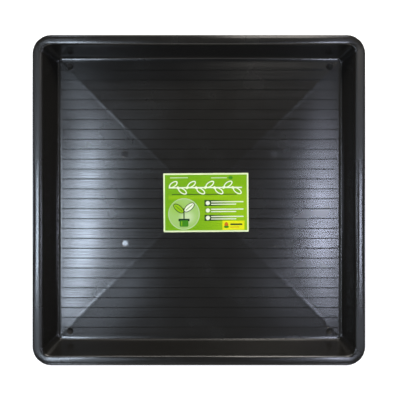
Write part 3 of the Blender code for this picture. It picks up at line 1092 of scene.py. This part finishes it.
    def _gussets(self, parts: MeshParts) -> None:
        """Flat webs under the rim, each closed between the rim's inside and a level lower edge."""
        sizes = self.sizes
        low = sizes.height - sizes.lip_drop + self.gusset_setback
        curve = RimProfile(sizes).rim(sizes.wall / 2.0)[::-1, :2]
        wall_inset = curve[-1, 0] + (curve[-1, 1] - low) * math.tan(sizes.wall_taper)
        outer_top = sizes.height - sizes.rim_outer_height - self.gusset_shoulder_gap
        curve = np.vstack(((sizes.wall / 2.0, outer_top), curve))
        along = np.linspace(sizes.wall / 2.0, wall_inset, len(curve))
        base = np.column_stack((along, np.full(len(curve), low)))
        web = np.stack((base, (base + curve) / 2.0, curve))
        halves = (sizes.length_x / 2.0, sizes.length_y / 2.0)
        for side in range(4):
            reach, half_length = halves if side % 2 == 0 else halves[::-1]
            turn = side * math.pi / 2.0
            spin = np.array(((math.cos(turn), math.sin(turn)), (-math.sin(turn), math.cos(turn))))
            for place in self._gusset_places(half_length):
                faces = []
                for offset in (self.gusset_t / 2.0, -self.gusset_t / 2.0):
                    across = np.full(web.shape[:2], place + offset)
                    flat = np.stack((reach - web[..., 0], across), axis=-1)
                    faces.append(np.concatenate((flat @ spin, web[..., 1:]), axis=-1))
                parts.add_shell(faces[0], faces[1])

    def build(self, effects: Effects) -> bpy.types.Object:
        """Build and dress the moulding.

        Args:
            effects: the shared node groups.

        Returns:
            The finished piece, riding on the root body.
        """
        parts = MeshParts()
        self._shell(parts)
        self._feet(parts)
        self._gussets(parts)
        piece = parts.build("tray_moulding", sharp_angle=self.sharp_angle)
        piece.data.materials.append(self.finish.material(self.sizes, effects))
        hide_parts("tray_shell")
        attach(piece, "root")
        return piece


# The label


class Shape(Enum):
    """Kinds of printed shape."""

    PANEL = "panel"
    OVAL = "oval"


@dataclass(frozen=True)
class Ink:
    """One printed shape. Places and sizes are in millimetres from the label's lower left corner."""

    shape: Shape
    centre: tuple[float, float]
    half: tuple[float, float]
    colour: Colour
    turn: float = 0.0
    corner: float = 0.0
    soft: float = 0.15
    strength: float = 1.0
    fade: Union[tuple[float, float], None] = None


@dataclass(frozen=True)
class LabelFinish:
    """Printed film with a satin face: lime field, cream border and a garden motif."""

    width: float = 162.0
    depth: float = 112.0
    border: float = 3.0
    cream: Colour = (0.80, 0.88, 0.52)
    lime: Colour = (0.170, 0.40, 0.0)
    bright_lime: Colour = (0.28, 0.51, 0.0)
    leaf_green: Colour = (0.045, 0.24, 0.004)
    dark_green: Colour = (0.004, 0.035, 0.006)
    pale_green: Colour = (0.34, 0.56, 0.13)
    white: Colour = (0.82, 0.88, 0.62)
    yellow: Colour = (0.78, 0.78, 0.0)
    orange: Colour = (0.60, 0.15, 0.010)
    roughness: float = 0.42
    roughness_swing: float = 0.08
    specular: float = 0.14
    grain_size: float = 0.0007
    grain_height: float = 0.000004
    dust_colour: Colour = (0.75, 0.76, 0.70)
    dust_patch: float = 0.05
    dust_amount: float = 0.01
    field_slope: float = -0.6
    field_range: tuple[float, float] = (-20.0, 130.0)
    frame_soft: float = 0.2
    frame_corner: float = 0.3

    def inks(self) -> list[Ink]:
        """Everything printed on the lime field, from the bottom layer to the top one."""
        return [*self._wash(), *self._garland(), *self._rows(), *self._roundel(), *self._patch()]

    def _wash(self) -> list[Ink]:
        """Soft darker and lighter areas over the field, and two small marks along its top edge."""
        return [
            Ink(Shape.OVAL, (150.0, 104.0), (70.0, 26.0), self.lime, soft=20.0, strength=0.7),
            Ink(Shape.OVAL, (20.0, 8.0), (60.0, 20.0), self.lime, soft=18.0, strength=0.8),
            Ink(Shape.PANEL, (84.0, 66.0), (74.0, 3.4), self.bright_lime, soft=3.0, strength=0.9),
            Ink(Shape.OVAL, (128.0, 103.0), (4.2, 3.2), self.leaf_green, soft=0.8),
            Ink(Shape.PANEL, (106.0, 103.0), (15.0, 0.7), self.white, soft=0.5, strength=0.7),
            Ink(Shape.PANEL, (30.0, 103.5), (17.0, 0.7), self.white, soft=0.5, strength=0.75),
        ]

    def _garland(self) -> list[Ink]:
        """A bold white garland along the top: a stem with big open leaves, and a line below."""
        inks = [
            Ink(Shape.PANEL, (80.0, 84.5), (70.0, 1.2), self.white, corner=1.1),
            Ink(Shape.PANEL, (78.0, 71.6), (62.0, 1.0), self.dark_green, corner=0.9, soft=0.5,
                strength=0.75),
        ]
        for number in range(8):
            side = 1.0 if number % 2 == 0 else -1.0
            centre = (19.0 + 17.4 * number, 84.5 + 6.2 * side)
            turn = math.radians(34.0) * side
            inks.append(Ink(Shape.OVAL, centre, (9.6, 5.0), self.white, turn=turn))
            inks.append(Ink(Shape.OVAL, centre, (7.2, 2.9), self.lime, turn=turn))
        for number in range(7):
            inks.append(Ink(Shape.OVAL, (27.7 + 17.4 * number, 84.5), (2.5, 2.5), self.white))
        return inks

    def _rows(self) -> list[Ink]:
        """Three rows on the right: a dark band that fades out, a white spot and two pale lines."""
        inks = []
        for number, strength in enumerate((0.95, 0.25, 0.95)):
            y = 55.0 - 14.0 * number
            band = Ink(Shape.PANEL, (118.0, y), (40.0, 5.8), self.dark_green, soft=0.5,
                       strength=strength, fade=(84.0, 142.0))
            inks.append(band)
            inks.append(Ink(Shape.OVAL, (84.5, y), (4.0, 4.0), self.white, soft=0.4))
            inks.append(Ink(Shape.PANEL, (121.5, y + 2.3), (31.0, 1.0), self.white, corner=0.9, soft=0.4))
            inks.append(Ink(Shape.PANEL, (114.5, y - 2.3), (24.0, 0.9), self.white, corner=0.8, soft=0.4))
        return inks

    def _roundel(self) -> list[Ink]:
        """A pale disc on the left with a young plant in a pot."""
        x, y = 39.0, 34.5
        lean = math.radians(40.0)
        return [
            Ink(Shape.OVAL, (x, y), (30.0, 30.0), self.white, strength=0.5),
            Ink(Shape.OVAL, (x, y), (28.4, 28.4), self.pale_green, strength=0.9),
            Ink(Shape.OVAL, (x + 6.0, y - 6.0), (11.0, 10.0), self.white, soft=8.0, strength=0.45),
            Ink(Shape.OVAL, (x - 12.0, y + 12.0), (12.0, 10.0), self.bright_lime, soft=9.0, strength=0.55),
            Ink(Shape.PANEL, (x, y - 2.0), (1.1, 13.0), self.dark_green, corner=0.9),
            Ink(Shape.OVAL, (x - 10.0, y + 10.5), (12.4, 6.2), self.dark_green, turn=-lean),
            Ink(Shape.OVAL, (x - 10.0, y + 10.5), (11.0, 4.9), self.bright_lime, turn=-lean),
            Ink(Shape.OVAL, (x + 10.0, y + 12.5), (12.4, 6.2), self.dark_green, turn=lean),
            Ink(Shape.OVAL, (x + 10.0, y + 12.5), (11.0, 4.9), self.white, turn=lean),
            Ink(Shape.PANEL, (x - 10.0, y + 10.5), (8.6, 0.5), self.leaf_green, turn=-lean),
            Ink(Shape.PANEL, (x + 10.0, y + 12.5), (8.6, 0.5), self.leaf_green, turn=lean),
            Ink(Shape.PANEL, (x, y - 11.5), (10.6, 2.5), self.dark_green, corner=1.0),
            Ink(Shape.PANEL, (x, y - 18.2), (8.4, 6.0), self.leaf_green, corner=2.4),
            Ink(Shape.PANEL, (x - 4.4, y - 18.2), (1.0, 4.4), self.bright_lime, corner=0.9, strength=0.6),
        ]

    def _patch(self) -> list[Ink]:
        """A yellow patch at the lower right with a small orange flower bud and two lines."""
        return [
            Ink(Shape.PANEL, (133.0, 12.6), (21.0, 8.6), self.yellow),
            Ink(Shape.OVAL, (119.5, 13.6), (3.6, 5.0), self.orange),
            Ink(Shape.OVAL, (119.5, 9.6), (4.8, 2.2), self.leaf_green),
            Ink(Shape.PANEL, (138.5, 14.4), (11.5, 1.5), self.dark_green, corner=1.2, soft=0.3),
            Ink(Shape.PANEL, (135.5, 9.0), (8.5, 0.6), self.orange, soft=0.3),
        ]

    def _printed(self, nodes: Nodes, effects: Effects, point: Socket, below: Socket, ink: Ink) -> Socket:
        """Lay one ink over the colours below it.

        Args:
            nodes: the material's nodes.
            effects: the shared node groups.
            point: place on the label in millimetres.
            below: the colour so far.
            ink: the shape to print.

        Returns:
            The colour with the shape on it.
        """
        shape = nodes.group(
            effects.panel if ink.shape is Shape.PANEL else effects.oval,
            point=point,
            centre=(*ink.centre, 0.0),
            half=(*ink.half, 0.0),
            turn=ink.turn,
            soft=ink.soft,
        )
        if ink.shape is Shape.PANEL:
            shape.inputs["Corner"].default_value = ink.corner
        mask = nodes.math("MULTIPLY", shape.outputs["Mask"], ink.strength)
        if ink.fade is not None:
            x = nodes.parts(point)[0]
            mask = nodes.math("MULTIPLY", mask, nodes.ranged(x, *ink.fade, 1.0, 0.0))
        return nodes.mix(mask, below, ink.colour)

    def material(self, effects: Effects) -> bpy.types.Material:
        """Make the material, which reads the label's own UV map.

        Args:
            effects: the shared node groups.

        Returns:
            The material.
        """
        material, nodes, shader = new_material("printed_label")
        uv = nodes.add("ShaderNodeUVMap", uv_map="print").outputs[0]
        point = nodes.vector("MULTIPLY", uv, (self.width, self.depth, 0.0))
        x, y, _ = nodes.parts(point)
        slope = nodes.math("MULTIPLY_ADD", y, self.field_slope, x)
        share = nodes.ranged(slope, *self.field_range, 0.0, 1.0)
        colour = nodes.mix(share, self.lime, self.bright_lime)
        for ink in self.inks():
            colour = self._printed(nodes, effects, point, colour, ink)
        frame_mask = nodes.group(
            effects.panel,
            point=point,
            centre=(self.width / 2.0, self.depth / 2.0, 0.0),
            half=(self.width / 2.0 - self.border, self.depth / 2.0 - self.border, 0.0),
            soft=self.frame_soft,
            corner=self.frame_corner,
        )
        colour = nodes.mix(frame_mask.outputs["Mask"], self.cream, colour)
        place = nodes.object_point()
        grain = nodes.group(effects.grain, point=place, size=self.grain_size)
        dust = nodes.group(effects.dust, point=place, patch=self.dust_patch, amount=self.dust_amount)
        colour = nodes.mix(dust.outputs["Mask"], colour, self.dust_colour)
        nodes.feed(shader.inputs["Base Color"], colour)
        smoothest = self.roughness - self.roughness_swing / 2.0
        rough = nodes.math("MULTIPLY_ADD", grain.outputs["Height"], self.roughness_swing, smoothest)
        nodes.feed(shader.inputs["Roughness"], rough)
        nodes.feed(shader.inputs["Normal"], nodes.bump(grain.outputs["Height"], self.grain_height))
        shader.inputs["Specular IOR Level"].default_value = self.specular
        return material


@dataclass
class Label:
    """The printed label, which lies on the floor and folds over its creases."""

    sizes: TraySizes
    finish: LabelFinish
    shift: tuple[float, float] = (0.0118, -0.0072)
    turn: float = math.radians(0.4)
    corner_r: float = 0.0015
    thickness: float = 0.0003
    lift: float = 0.00055
    groove_dip: float = 0.00006
    dip_width: float = 0.0016
    step: float = 0.0012
    sharp_angle: float = math.radians(40.0)

    def _plan(self) -> tuple[Array, Array]:
        """Places on the flat label from its middle: an even grid with its corners rounded off."""
        half = np.array((self.finish.width, self.finish.depth)) * MILLIMETRE / 2.0
        core = half - self.corner_r
        lines = [filled(mirrored(np.array((c, (c + h) / 2.0, h))), self.step) for c, h in zip(core, half)]
        x, y = np.meshgrid(*lines)
        return rounded_corners(x, y, core, self.corner_r)

    def _height(self, x: Array, y: Array) -> Array:
        """Height of the label's underside: the floor, lifted, with a faint dip over each groove."""
        pitch = self.sizes.groove_pitch
        away = (y - np.round(y / pitch) * pitch) / self.dip_width
        return self.sizes.pyramid(x, y) + self.lift - self.groove_dip * np.exp(-away * away)

    def build(self, effects: Effects) -> bpy.types.Object:
        """Build and dress the label.

        Args:
            effects: the shared node groups.

        Returns:
            The finished piece, riding on the root body.
        """
        flat_x, flat_y = self._plan()
        cos, sin = math.cos(self.turn), math.sin(self.turn)
        x = flat_x * cos - flat_y * sin + self.shift[0]
        y = flat_x * sin + flat_y * cos + self.shift[1]
        under = self._height(x, y)
        parts = MeshParts()
        upper = np.stack((x, y, under + self.thickness), axis=-1)
        parts.add_shell(upper, np.stack((x, y, under), axis=-1))
        piece = parts.build("printed_label", sharp_angle=self.sharp_angle)
        share_x = flat_x / (self.finish.width * MILLIMETRE) + 0.5
        share_y = flat_y / (self.finish.depth * MILLIMETRE) + 0.5
        share = np.stack((share_x, share_y), axis=-1).reshape(-1, 2)
        corners = np.empty(len(piece.data.loops), np.int32)
        piece.data.loops.foreach_get("vertex_index", corners)
        uv_map = piece.data.uv_layers.new(name="print")
        uv_map.data.foreach_set("uv", np.tile(share, (2, 1))[corners].astype(np.float32).ravel())
        piece.data.materials.append(self.finish.material(effects))
        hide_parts("label")
        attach(piece, "root")
        return piece


# The studio


@dataclass(frozen=True)
class Lamp:
    """A soft rectangular lamp of even radiance, in watts per square metre and steradian."""

    name: str
    place: Point
    size: tuple[float, float]
    radiance: float
    colour: Colour = WHITE
    target: Union[Point, None] = None
    turn: float = 0.0

    def build(self) -> bpy.types.Object:
        """Add the lamp. With no target it looks straight down, turned about Z."""
        light = bpy.data.lights.new(self.name, "AREA")
        light.shape = "RECTANGLE"
        light.size, light.size_y = self.size
        light.energy = self.radiance * math.pi * self.size[0] * self.size[1]
        light.color = self.colour
        lamp = bpy.data.objects.new(self.name, light)
        lamp.location = self.place
        if self.target is None:
            lamp.rotation_euler = (0.0, 0.0, self.turn)
        else:
            aim = Vector(self.target) - Vector(self.place)
            lamp.rotation_euler = aim.to_track_quat("-Z", "Y").to_euler()
        bpy.context.scene.collection.objects.link(lamp)
        return lamp


@dataclass
class Studio:
    """Pale floor, soft lamps, a dim world and the camera straight above the tray."""

    camera_place: Point = (0.0351, 0.0508, 1.286)
    camera_lens: float = 60.39
    camera_shift: tuple[float, float] = (-0.04555, -0.06975)
    camera_sensor: float = 36.0
    strip_height: float = 2.2
    facet_slope: float = 0.00923
    left_colour: Colour = (0.72, 0.84, 1.0)
    right_colour: Colour = (0.74, 0.80, 1.0)
    floor_size: float = 8.0
    floor_colour: Colour = (0.62, 0.62, 0.61)
    floor_shade: Colour = (0.55, 0.55, 0.54)
    floor_lines: int = 9
    floor_drop: float = 0.0002
    floor_patches: float = 9.0
    floor_roughness: float = 0.8
    floor_specular: float = 0.2
    floor_glow: float = 0.72
    sky_colour: Colour = (1.0, 0.96, 0.89)
    world_strength: float = 0.03

    def _strip(self, name: str, x: tuple[float, float], y: tuple[float, float], radiance: float,
               colour: Colour, width: float = 0.02) -> Lamp:
        """A strip overhead, placed by where its mirror image shows on the floor.

        A point of the floor at x sees the strip at x + (x - camera's x) times the strip's height
        over the camera's, less or plus twice the facet's slope times the height.

        Args:
            name: the lamp's name.
            x: where the image's middle line is at its lower and its upper end.
            y: where the image ends.
            radiance: the lamp's radiance.
            colour: the lamp's colour.
            width: the image's width.

        Returns:
            The lamp.
        """
        reach = self.strip_height / self.camera_place[2]
        tilt = math.copysign(2.0 * self.facet_slope * self.strip_height, x[0])
        ends = [(at * (1.0 + reach) - self.camera_place[0] * reach + tilt) for at in x]
        low, high = [at * (1.0 + reach) - self.camera_place[1] * reach for at in y]
        place = (sum(ends) / 2.0, (low + high) / 2.0, self.strip_height)
        length = math.hypot(high - low, ends[1] - ends[0])
        turn = math.atan2(ends[0] - ends[1], high - low)
        return Lamp(name, place, (width * (1.0 + reach), length), radiance, colour, turn=turn)

    def lamps(self) -> list[Lamp]:
        """Two rows of strips over the tray, bright in the middle, and large soft lamps round it."""
        target = (0.0, 0.0, 0.0)
        warm = (1.0, 0.95, 0.88)
        left, right = self.left_colour, self.right_colour
        return [
            self._strip("left_upper", (-0.2125, -0.2125), (-0.027, 0.102), 52.0, left),
            self._strip("left_middle", (-0.2240, -0.2140), (-0.123, -0.027), 66.0, left),
            self._strip("left_lower", (-0.2399, -0.2270), (-0.190, -0.123), 56.0, left),
            self._strip("left_end", (-0.2540, -0.2420), (-0.232, -0.190), 48.0, left),
            self._strip("left_edge", (-0.2490, -0.2470), (-0.133, 0.057), 13.0, left),
            self._strip("left_fade", (-0.2140, -0.2125), (0.102, 0.162), 18.0, left),
            self._strip("left_back", (-0.2380, -0.2280), (0.162, 0.252), 8.5, left),
            self._strip("left_skirt", (-0.1750, -0.1700), (-0.240, -0.070), 2.0, left, 0.06),
            self._strip("left_hem", (-0.1500, -0.1050), (-0.222, -0.145), 3.4, left, 0.045),
            self._strip("right_hem", (0.1500, 0.1050), (-0.222, -0.145), 1.2, right, 0.045),
            self._strip("left_brow", (-0.1100, -0.1100), (0.130, 0.170), 0.9, left, 0.06),
            self._strip("left_foot", (-0.1900, -0.1900), (-0.290, -0.220), 2.5, left, 0.05),
            self._strip("left_veil", (-0.1700, -0.1700), (0.020, 0.200), 0.7, left, 0.06),
            self._strip("right_upper", (0.2340, 0.2340), (0.020, 0.085), 42.0, right),
            self._strip("right_main", (0.2340, 0.2340), (-0.123, 0.020), 54.0, right),
            self._strip("right_lower", (0.2379, 0.2340), (-0.190, -0.123), 30.0, right),
            self._strip("right_end", (0.2480, 0.2410), (-0.226, -0.190), 22.0, right),
            self._strip("right_fade", (0.2350, 0.2340), (0.085, 0.152), 11.0, right),
            self._strip("right_back", (0.2400, 0.2350), (0.152, 0.252), 3.6, right),
            self._strip("right_skirt", (0.1750, 0.1750), (-0.250, -0.110), 1.1, right, 0.07),
            Lamp("front_glow", (0.0, -1.20, 2.2), (1.5, 0.7), 0.22),
            Lamp("left_far", (-0.80, 1.56, 2.2), (0.13, 0.50), 14.0, left),
            Lamp("left_front", (-0.74, -1.50, 2.2), (0.30, 0.50), 15.5, left),
            Lamp("right_far", (0.72, 1.56, 2.2), (0.13, 0.50), 9.0, right),
            Lamp("right_front", (0.68, -1.50, 2.2), (0.26, 0.50), 9.0, right),
            Lamp("back_glint", (0.34, 1.05, 2.2), (0.50, 0.50), 8.0, warm),
            Lamp("back_window", (0.28, 1.24, 1.02), (0.44, 0.30), 15.5, warm, target),
            Lamp("back_wide", (0.0, 1.30, 0.92), (1.4, 0.44), 5.0, warm, target),
            Lamp("side_left", (-2.2, -0.1, 1.5), (0.5, 0.5), 12.0, right, target),
            Lamp("side_right", (2.2, -0.3, 1.5), (0.5, 0.4), 17.0, right, target),
            Lamp("side_back", (0.0, 2.2, 1.5), (1.6, 1.0), 1.7, warm, target),
            Lamp("side_front", (0.0, -2.2, 1.5), (1.6, 1.0), 2.0, warm, target),
        ]

    def _floor(self) -> bpy.types.Object:
        """Pale floor that shows white to the camera, less the tray's shadow."""
        half = self.floor_size / 2.0
        line = np.linspace(-half, half, self.floor_lines)
        x, y = np.meshgrid(line, line)
        flat = np.stack((x, y, np.full(x.shape, -self.floor_drop)), axis=-1)
        parts = MeshParts()
        parts.add(flat.reshape(-1, 3), grid_quads(np.arange(x.size).reshape(x.shape)))
        floor = parts.build("studio_floor")
        material, nodes, shader = new_material("pale_floor")
        patches = nodes.noise(nodes.object_point(), self.floor_patches, detail=3.0)
        shade = nodes.ranged(patches, 0.3, 0.7, 0.97, 1.0)
        colour = nodes.mix(shade, self.floor_shade, self.floor_colour)
        nodes.feed(shader.inputs["Base Color"], colour)
        shader.inputs["Roughness"].default_value = self.floor_roughness
        shader.inputs["Specular IOR Level"].default_value = self.floor_specular
        path = nodes.add("ShaderNodeLightPath")
        nodes.feed(shader.inputs["Emission Color"], WHITE)
        seen = nodes.math("MAXIMUM", path.outputs["Is Camera Ray"], path.outputs["Is Glossy Ray"])
        seen = nodes.math("MAXIMUM", seen, path.outputs["Is Transmission Ray"])
        nodes.feed(shader.inputs["Emission Strength"], nodes.math("MULTIPLY", seen, self.floor_glow))
        floor.data.materials.append(material)
        return floor

    def _world(self) -> None:
        """A dim even world, white where the camera sees it."""
        world = bpy.data.worlds.new("studio_world")
        world.use_nodes = True
        nodes = Nodes(world.node_tree)
        sky = world.node_tree.nodes["Background"]
        path = nodes.add("ShaderNodeLightPath")
        seen = path.outputs["Is Camera Ray"]
        nodes.feed(sky.inputs["Color"], nodes.mix(seen, self.sky_colour, WHITE))
        nodes.feed(sky.inputs["Strength"], nodes.ranged(seen, 0.0, 1.0, self.world_strength, 1.0))
        bpy.context.scene.world = world

    def _camera(self) -> bpy.types.Object:
        """Camera that looks straight down, shifted as the photograph was cropped."""
        camera = bpy.data.cameras.new("top_camera")
        camera.lens = self.camera_lens
        camera.sensor_width = self.camera_sensor
        camera.shift_x, camera.shift_y = self.camera_shift
        holder = bpy.data.objects.new("top_camera", camera)
        holder.location = self.camera_place
        bpy.context.scene.collection.objects.link(holder)
        bpy.context.scene.camera = holder
        return holder

    def build(self) -> None:
        """Set the whole studio up."""
        self._floor()
        self._world()
        self._camera()
        for lamp in self.lamps():
            lamp.build()
        bpy.context.scene.view_settings.view_transform = "Standard"


def report(piece: bpy.types.Object) -> None:
    """Log a piece's name and how many triangles it has."""
    sides = np.empty(len(piece.data.polygons), np.int32)
    piece.data.polygons.foreach_get("loop_total", sides)
    log.info("%s: %d triangles", piece.name, int((sides - 2).sum()))


def main() -> None:
    """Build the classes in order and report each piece."""
    logging.basicConfig(level=logging.INFO, format="%(name)s %(message)s")
    effects = Effects()
    sizes = TraySizes.from_frame()
    report(Moulding(sizes, PlasticFinish()).build(effects))
    report(Label(sizes, LabelFinish()).build(effects))
    Studio().build()


if __name__ == "__main__":
    main()
